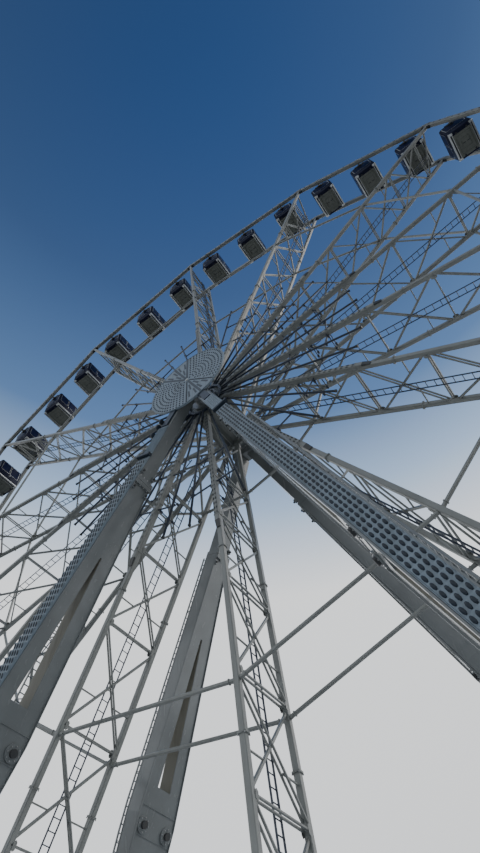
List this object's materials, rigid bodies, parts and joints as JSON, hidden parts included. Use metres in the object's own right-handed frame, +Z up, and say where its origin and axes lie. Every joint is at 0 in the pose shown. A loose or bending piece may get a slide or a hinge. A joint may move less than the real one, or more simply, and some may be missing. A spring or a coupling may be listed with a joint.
{
  "type": "ferris wheel, 1:2 scale model",
  "caption": "Transportable giant observation wheel: trussed spokes and a polygonal double rim on a fixed axle between two pairs of splayed box legs, with closed cabins that stay level.",
  "frame": {"origin": "on the ground at the middle of the base, under the middle of the axle", "axes": "+Z up; +Y along the axle towards the rear, so the front with the light strips faces -Y; +X to the right as seen from the front"},
  "size_m": [28.4132, 5.5988, 29.8691],
  "materials": {
    "base_paint": "matt grey",
    "leg_paint": "satin light grey",
    "wheel_paint": "satin light grey",
    "dark_rods": "satin black",
    "display_panels": "pale blue-grey panels with dark lamps",
    "cabin_shell": "gloss dark blue"
  },
  "bodies": {
    "support": {"ground_frame": "base_paint", "leg_front_left": "leg_paint", "leg_front_right": "leg_paint", "leg_rear_left": "leg_paint", "leg_rear_right": "leg_paint", "axle": "leg_paint", "front_display": "display_panels"},
    "wheel": {"hub": "wheel_paint", "light_rods": "dark_rods", "wheel_section_1": "wheel_paint", "wheel_section_2": "wheel_paint", "wheel_section_3": "wheel_paint", "wheel_section_4": "wheel_paint", "wheel_section_5": "wheel_paint", "wheel_section_6": "wheel_paint", "wheel_section_7": "wheel_paint"},
    "cabin_01": {"cabin_01": "cabin_shell"},
    "cabin_02": {"cabin_02": "cabin_shell"},
    "cabin_03": {"cabin_03": "cabin_shell"},
    "cabin_04": {"cabin_04": "cabin_shell"},
    "cabin_05": {"cabin_05": "cabin_shell"},
    "cabin_06": {"cabin_06": "cabin_shell"},
    "cabin_07": {"cabin_07": "cabin_shell"},
    "cabin_08": {"cabin_08": "cabin_shell"},
    "cabin_09": {"cabin_09": "cabin_shell"},
    "cabin_10": {"cabin_10": "cabin_shell"},
    "cabin_11": {"cabin_11": "cabin_shell"},
    "cabin_12": {"cabin_12": "cabin_shell"},
    "cabin_13": {"cabin_13": "cabin_shell"},
    "cabin_14": {"cabin_14": "cabin_shell"},
    "cabin_15": {"cabin_15": "cabin_shell"},
    "cabin_16": {"cabin_16": "cabin_shell"},
    "cabin_17": {"cabin_17": "cabin_shell"},
    "cabin_18": {"cabin_18": "cabin_shell"},
    "cabin_19": {"cabin_19": "cabin_shell"},
    "cabin_20": {"cabin_20": "cabin_shell"},
    "cabin_21": {"cabin_21": "cabin_shell"},
    "cabin_22": {"cabin_22": "cabin_shell"},
    "cabin_23": {"cabin_23": "cabin_shell"},
    "cabin_24": {"cabin_24": "cabin_shell"},
    "cabin_25": {"cabin_25": "cabin_shell"},
    "cabin_26": {"cabin_26": "cabin_shell"},
    "cabin_27": {"cabin_27": "cabin_shell"},
    "cabin_28": {"cabin_28": "cabin_shell"},
    "cabin_29": {"cabin_29": "cabin_shell"},
    "cabin_30": {"cabin_30": "cabin_shell"},
    "cabin_31": {"cabin_31": "cabin_shell"},
    "cabin_32": {"cabin_32": "cabin_shell"},
    "cabin_33": {"cabin_33": "cabin_shell"},
    "cabin_34": {"cabin_34": "cabin_shell"},
    "cabin_35": {"cabin_35": "cabin_shell"},
    "cabin_36": {"cabin_36": "cabin_shell"},
    "cabin_37": {"cabin_37": "cabin_shell"},
    "cabin_38": {"cabin_38": "cabin_shell"},
    "cabin_39": {"cabin_39": "cabin_shell"},
    "cabin_40": {"cabin_40": "cabin_shell"},
    "cabin_41": {"cabin_41": "cabin_shell"},
    "cabin_42": {"cabin_42": "cabin_shell"}
  },
  "joints": [
    {"name": "wheel_spin", "type": "hinge", "parent": "support", "child": "wheel", "pos_m": [0, 0, 15.8], "axis": [0, 1, 0], "continuous": true},
    {"name": "cabin_01_pivot", "type": "hinge", "parent": "wheel", "child": "cabin_01", "pos_m": [0.31449, 0, 29.60251], "axis": [0, 1, 0], "continuous": true},
    {"name": "cabin_02_pivot", "type": "hinge", "parent": "wheel", "child": "cabin_02", "pos_m": [2.36007, 0, 29.2434], "axis": [0, 1, 0], "continuous": true},
    {"name": "cabin_03_pivot", "type": "hinge", "parent": "wheel", "child": "cabin_03", "pos_m": [4.40565, 0, 28.88429], "axis": [0, 1, 0], "continuous": true},
    {"name": "cabin_04_pivot", "type": "hinge", "parent": "wheel", "child": "cabin_04", "pos_m": [6.27203, 0, 28.09918], "axis": [0, 1, 0], "continuous": true},
    {"name": "cabin_05_pivot", "type": "hinge", "parent": "wheel", "child": "cabin_05", "pos_m": [7.95922, 0, 26.88809], "axis": [0, 1, 0], "continuous": true},
    {"name": "cabin_06_pivot", "type": "hinge", "parent": "wheel", "child": "cabin_06", "pos_m": [9.64641, 0, 25.677], "axis": [0, 1, 0], "continuous": true},
    {"name": "cabin_07_pivot", "type": "hinge", "parent": "wheel", "child": "cabin_07", "pos_m": [10.98732, 0, 24.15985], "axis": [0, 1, 0], "continuous": true},
    {"name": "cabin_08_pivot", "type": "hinge", "parent": "wheel", "child": "cabin_08", "pos_m": [11.98195, 0, 22.33665], "axis": [0, 1, 0], "continuous": true},
    {"name": "cabin_09_pivot", "type": "hinge", "parent": "wheel", "child": "cabin_09", "pos_m": [12.97658, 0, 20.51345], "axis": [0, 1, 0], "continuous": true},
    {"name": "cabin_10_pivot", "type": "hinge", "parent": "wheel", "child": "cabin_10", "pos_m": [13.52644, 0, 18.56474], "axis": [0, 1, 0], "continuous": true},
    {"name": "cabin_11_pivot", "type": "hinge", "parent": "wheel", "child": "cabin_11", "pos_m": [13.63151, 0, 16.49054], "axis": [0, 1, 0], "continuous": true},
    {"name": "cabin_12_pivot", "type": "hinge", "parent": "wheel", "child": "cabin_12", "pos_m": [13.73659, 0, 14.41634], "axis": [0, 1, 0], "continuous": true},
    {"name": "cabin_13_pivot", "type": "hinge", "parent": "wheel", "child": "cabin_13", "pos_m": [13.38648, 0, 12.42205], "axis": [0, 1, 0], "continuous": true},
    {"name": "cabin_14_pivot", "type": "hinge", "parent": "wheel", "child": "cabin_14", "pos_m": [12.58118, 0, 10.50767], "axis": [0, 1, 0], "continuous": true},
    {"name": "cabin_15_pivot", "type": "hinge", "parent": "wheel", "child": "cabin_15", "pos_m": [11.77589, 0, 8.59328], "axis": [0, 1, 0], "continuous": true},
    {"name": "cabin_16_pivot", "type": "hinge", "parent": "wheel", "child": "cabin_16", "pos_m": [10.59516, 0, 6.9484], "axis": [0, 1, 0], "continuous": true},
    {"name": "cabin_17_pivot", "type": "hinge", "parent": "wheel", "child": "cabin_17", "pos_m": [9.039, 0, 5.573], "axis": [0, 1, 0], "continuous": true},
    {"name": "cabin_18_pivot", "type": "hinge", "parent": "wheel", "child": "cabin_18", "pos_m": [7.48283, 0, 4.19761], "axis": [0, 1, 0], "continuous": true},
    {"name": "cabin_19_pivot", "type": "hinge", "parent": "wheel", "child": "cabin_19", "pos_m": [5.70534, 0, 3.22791], "axis": [0, 1, 0], "continuous": true},
    {"name": "cabin_20_pivot", "type": "hinge", "parent": "wheel", "child": "cabin_20", "pos_m": [3.70653, 0, 2.66392], "axis": [0, 1, 0], "continuous": true},
    {"name": "cabin_21_pivot", "type": "hinge", "parent": "wheel", "child": "cabin_21", "pos_m": [1.70771, 0, 2.09993], "axis": [0, 1, 0], "continuous": true},
    {"name": "cabin_22_pivot", "type": "hinge", "parent": "wheel", "child": "cabin_22", "pos_m": [-0.31449, 0, 1.99749], "axis": [0, 1, 0], "continuous": true},
    {"name": "cabin_23_pivot", "type": "hinge", "parent": "wheel", "child": "cabin_23", "pos_m": [-2.36007, 0, 2.3566], "axis": [0, 1, 0], "continuous": true},
    {"name": "cabin_24_pivot", "type": "hinge", "parent": "wheel", "child": "cabin_24", "pos_m": [-4.40565, 0, 2.71571], "axis": [0, 1, 0], "continuous": true},
    {"name": "cabin_25_pivot", "type": "hinge", "parent": "wheel", "child": "cabin_25", "pos_m": [-6.27203, 0, 3.50082], "axis": [0, 1, 0], "continuous": true},
    {"name": "cabin_26_pivot", "type": "hinge", "parent": "wheel", "child": "cabin_26", "pos_m": [-7.95922, 0, 4.71191], "axis": [0, 1, 0], "continuous": true},
    {"name": "cabin_27_pivot", "type": "hinge", "parent": "wheel", "child": "cabin_27", "pos_m": [-9.64641, 0, 5.923], "axis": [0, 1, 0], "continuous": true},
    {"name": "cabin_28_pivot", "type": "hinge", "parent": "wheel", "child": "cabin_28", "pos_m": [-10.98732, 0, 7.44015], "axis": [0, 1, 0], "continuous": true},
    {"name": "cabin_29_pivot", "type": "hinge", "parent": "wheel", "child": "cabin_29", "pos_m": [-11.98195, 0, 9.26335], "axis": [0, 1, 0], "continuous": true},
    {"name": "cabin_30_pivot", "type": "hinge", "parent": "wheel", "child": "cabin_30", "pos_m": [-12.97658, 0, 11.08655], "axis": [0, 1, 0], "continuous": true},
    {"name": "cabin_31_pivot", "type": "hinge", "parent": "wheel", "child": "cabin_31", "pos_m": [-13.52644, 0, 13.03525], "axis": [0, 1, 0], "continuous": true},
    {"name": "cabin_32_pivot", "type": "hinge", "parent": "wheel", "child": "cabin_32", "pos_m": [-13.63151, 0, 15.10946], "axis": [0, 1, 0], "continuous": true},
    {"name": "cabin_33_pivot", "type": "hinge", "parent": "wheel", "child": "cabin_33", "pos_m": [-13.73659, 0, 17.18366], "axis": [0, 1, 0], "continuous": true},
    {"name": "cabin_34_pivot", "type": "hinge", "parent": "wheel", "child": "cabin_34", "pos_m": [-13.38648, 0, 19.17795], "axis": [0, 1, 0], "continuous": true},
    {"name": "cabin_35_pivot", "type": "hinge", "parent": "wheel", "child": "cabin_35", "pos_m": [-12.58118, 0, 21.09233], "axis": [0, 1, 0], "continuous": true},
    {"name": "cabin_36_pivot", "type": "hinge", "parent": "wheel", "child": "cabin_36", "pos_m": [-11.77589, 0, 23.00672], "axis": [0, 1, 0], "continuous": true},
    {"name": "cabin_37_pivot", "type": "hinge", "parent": "wheel", "child": "cabin_37", "pos_m": [-10.59516, 0, 24.6516], "axis": [0, 1, 0], "continuous": true},
    {"name": "cabin_38_pivot", "type": "hinge", "parent": "wheel", "child": "cabin_38", "pos_m": [-9.039, 0, 26.027], "axis": [0, 1, 0], "continuous": true},
    {"name": "cabin_39_pivot", "type": "hinge", "parent": "wheel", "child": "cabin_39", "pos_m": [-7.48283, 0, 27.40239], "axis": [0, 1, 0], "continuous": true},
    {"name": "cabin_40_pivot", "type": "hinge", "parent": "wheel", "child": "cabin_40", "pos_m": [-5.70534, 0, 28.37209], "axis": [0, 1, 0], "continuous": true},
    {"name": "cabin_41_pivot", "type": "hinge", "parent": "wheel", "child": "cabin_41", "pos_m": [-3.70653, 0, 28.93608], "axis": [0, 1, 0], "continuous": true},
    {"name": "cabin_42_pivot", "type": "hinge", "parent": "wheel", "child": "cabin_42", "pos_m": [-1.70771, 0, 29.50007], "axis": [0, 1, 0], "continuous": true}
  ],
  "couplings": [
    {"joint": "cabin_01_pivot", "follows": "wheel_spin", "ratio": -1},
    {"joint": "cabin_02_pivot", "follows": "wheel_spin", "ratio": -1},
    {"joint": "cabin_03_pivot", "follows": "wheel_spin", "ratio": -1},
    {"joint": "cabin_04_pivot", "follows": "wheel_spin", "ratio": -1},
    {"joint": "cabin_05_pivot", "follows": "wheel_spin", "ratio": -1},
    {"joint": "cabin_06_pivot", "follows": "wheel_spin", "ratio": -1},
    {"joint": "cabin_07_pivot", "follows": "wheel_spin", "ratio": -1},
    {"joint": "cabin_08_pivot", "follows": "wheel_spin", "ratio": -1},
    {"joint": "cabin_09_pivot", "follows": "wheel_spin", "ratio": -1},
    {"joint": "cabin_10_pivot", "follows": "wheel_spin", "ratio": -1},
    {"joint": "cabin_11_pivot", "follows": "wheel_spin", "ratio": -1},
    {"joint": "cabin_12_pivot", "follows": "wheel_spin", "ratio": -1},
    {"joint": "cabin_13_pivot", "follows": "wheel_spin", "ratio": -1},
    {"joint": "cabin_14_pivot", "follows": "wheel_spin", "ratio": -1},
    {"joint": "cabin_15_pivot", "follows": "wheel_spin", "ratio": -1},
    {"joint": "cabin_16_pivot", "follows": "wheel_spin", "ratio": -1},
    {"joint": "cabin_17_pivot", "follows": "wheel_spin", "ratio": -1},
    {"joint": "cabin_18_pivot", "follows": "wheel_spin", "ratio": -1},
    {"joint": "cabin_19_pivot", "follows": "wheel_spin", "ratio": -1},
    {"joint": "cabin_20_pivot", "follows": "wheel_spin", "ratio": -1},
    {"joint": "cabin_21_pivot", "follows": "wheel_spin", "ratio": -1},
    {"joint": "cabin_22_pivot", "follows": "wheel_spin", "ratio": -1},
    {"joint": "cabin_23_pivot", "follows": "wheel_spin", "ratio": -1},
    {"joint": "cabin_24_pivot", "follows": "wheel_spin", "ratio": -1},
    {"joint": "cabin_25_pivot", "follows": "wheel_spin", "ratio": -1},
    {"joint": "cabin_26_pivot", "follows": "wheel_spin", "ratio": -1},
    {"joint": "cabin_27_pivot", "follows": "wheel_spin", "ratio": -1},
    {"joint": "cabin_28_pivot", "follows": "wheel_spin", "ratio": -1},
    {"joint": "cabin_29_pivot", "follows": "wheel_spin", "ratio": -1},
    {"joint": "cabin_30_pivot", "follows": "wheel_spin", "ratio": -1},
    {"joint": "cabin_31_pivot", "follows": "wheel_spin", "ratio": -1},
    {"joint": "cabin_32_pivot", "follows": "wheel_spin", "ratio": -1},
    {"joint": "cabin_33_pivot", "follows": "wheel_spin", "ratio": -1},
    {"joint": "cabin_34_pivot", "follows": "wheel_spin", "ratio": -1},
    {"joint": "cabin_35_pivot", "follows": "wheel_spin", "ratio": -1},
    {"joint": "cabin_36_pivot", "follows": "wheel_spin", "ratio": -1},
    {"joint": "cabin_37_pivot", "follows": "wheel_spin", "ratio": -1},
    {"joint": "cabin_38_pivot", "follows": "wheel_spin", "ratio": -1},
    {"joint": "cabin_39_pivot", "follows": "wheel_spin", "ratio": -1},
    {"joint": "cabin_40_pivot", "follows": "wheel_spin", "ratio": -1},
    {"joint": "cabin_41_pivot", "follows": "wheel_spin", "ratio": -1},
    {"joint": "cabin_42_pivot", "follows": "wheel_spin", "ratio": -1}
  ]
}
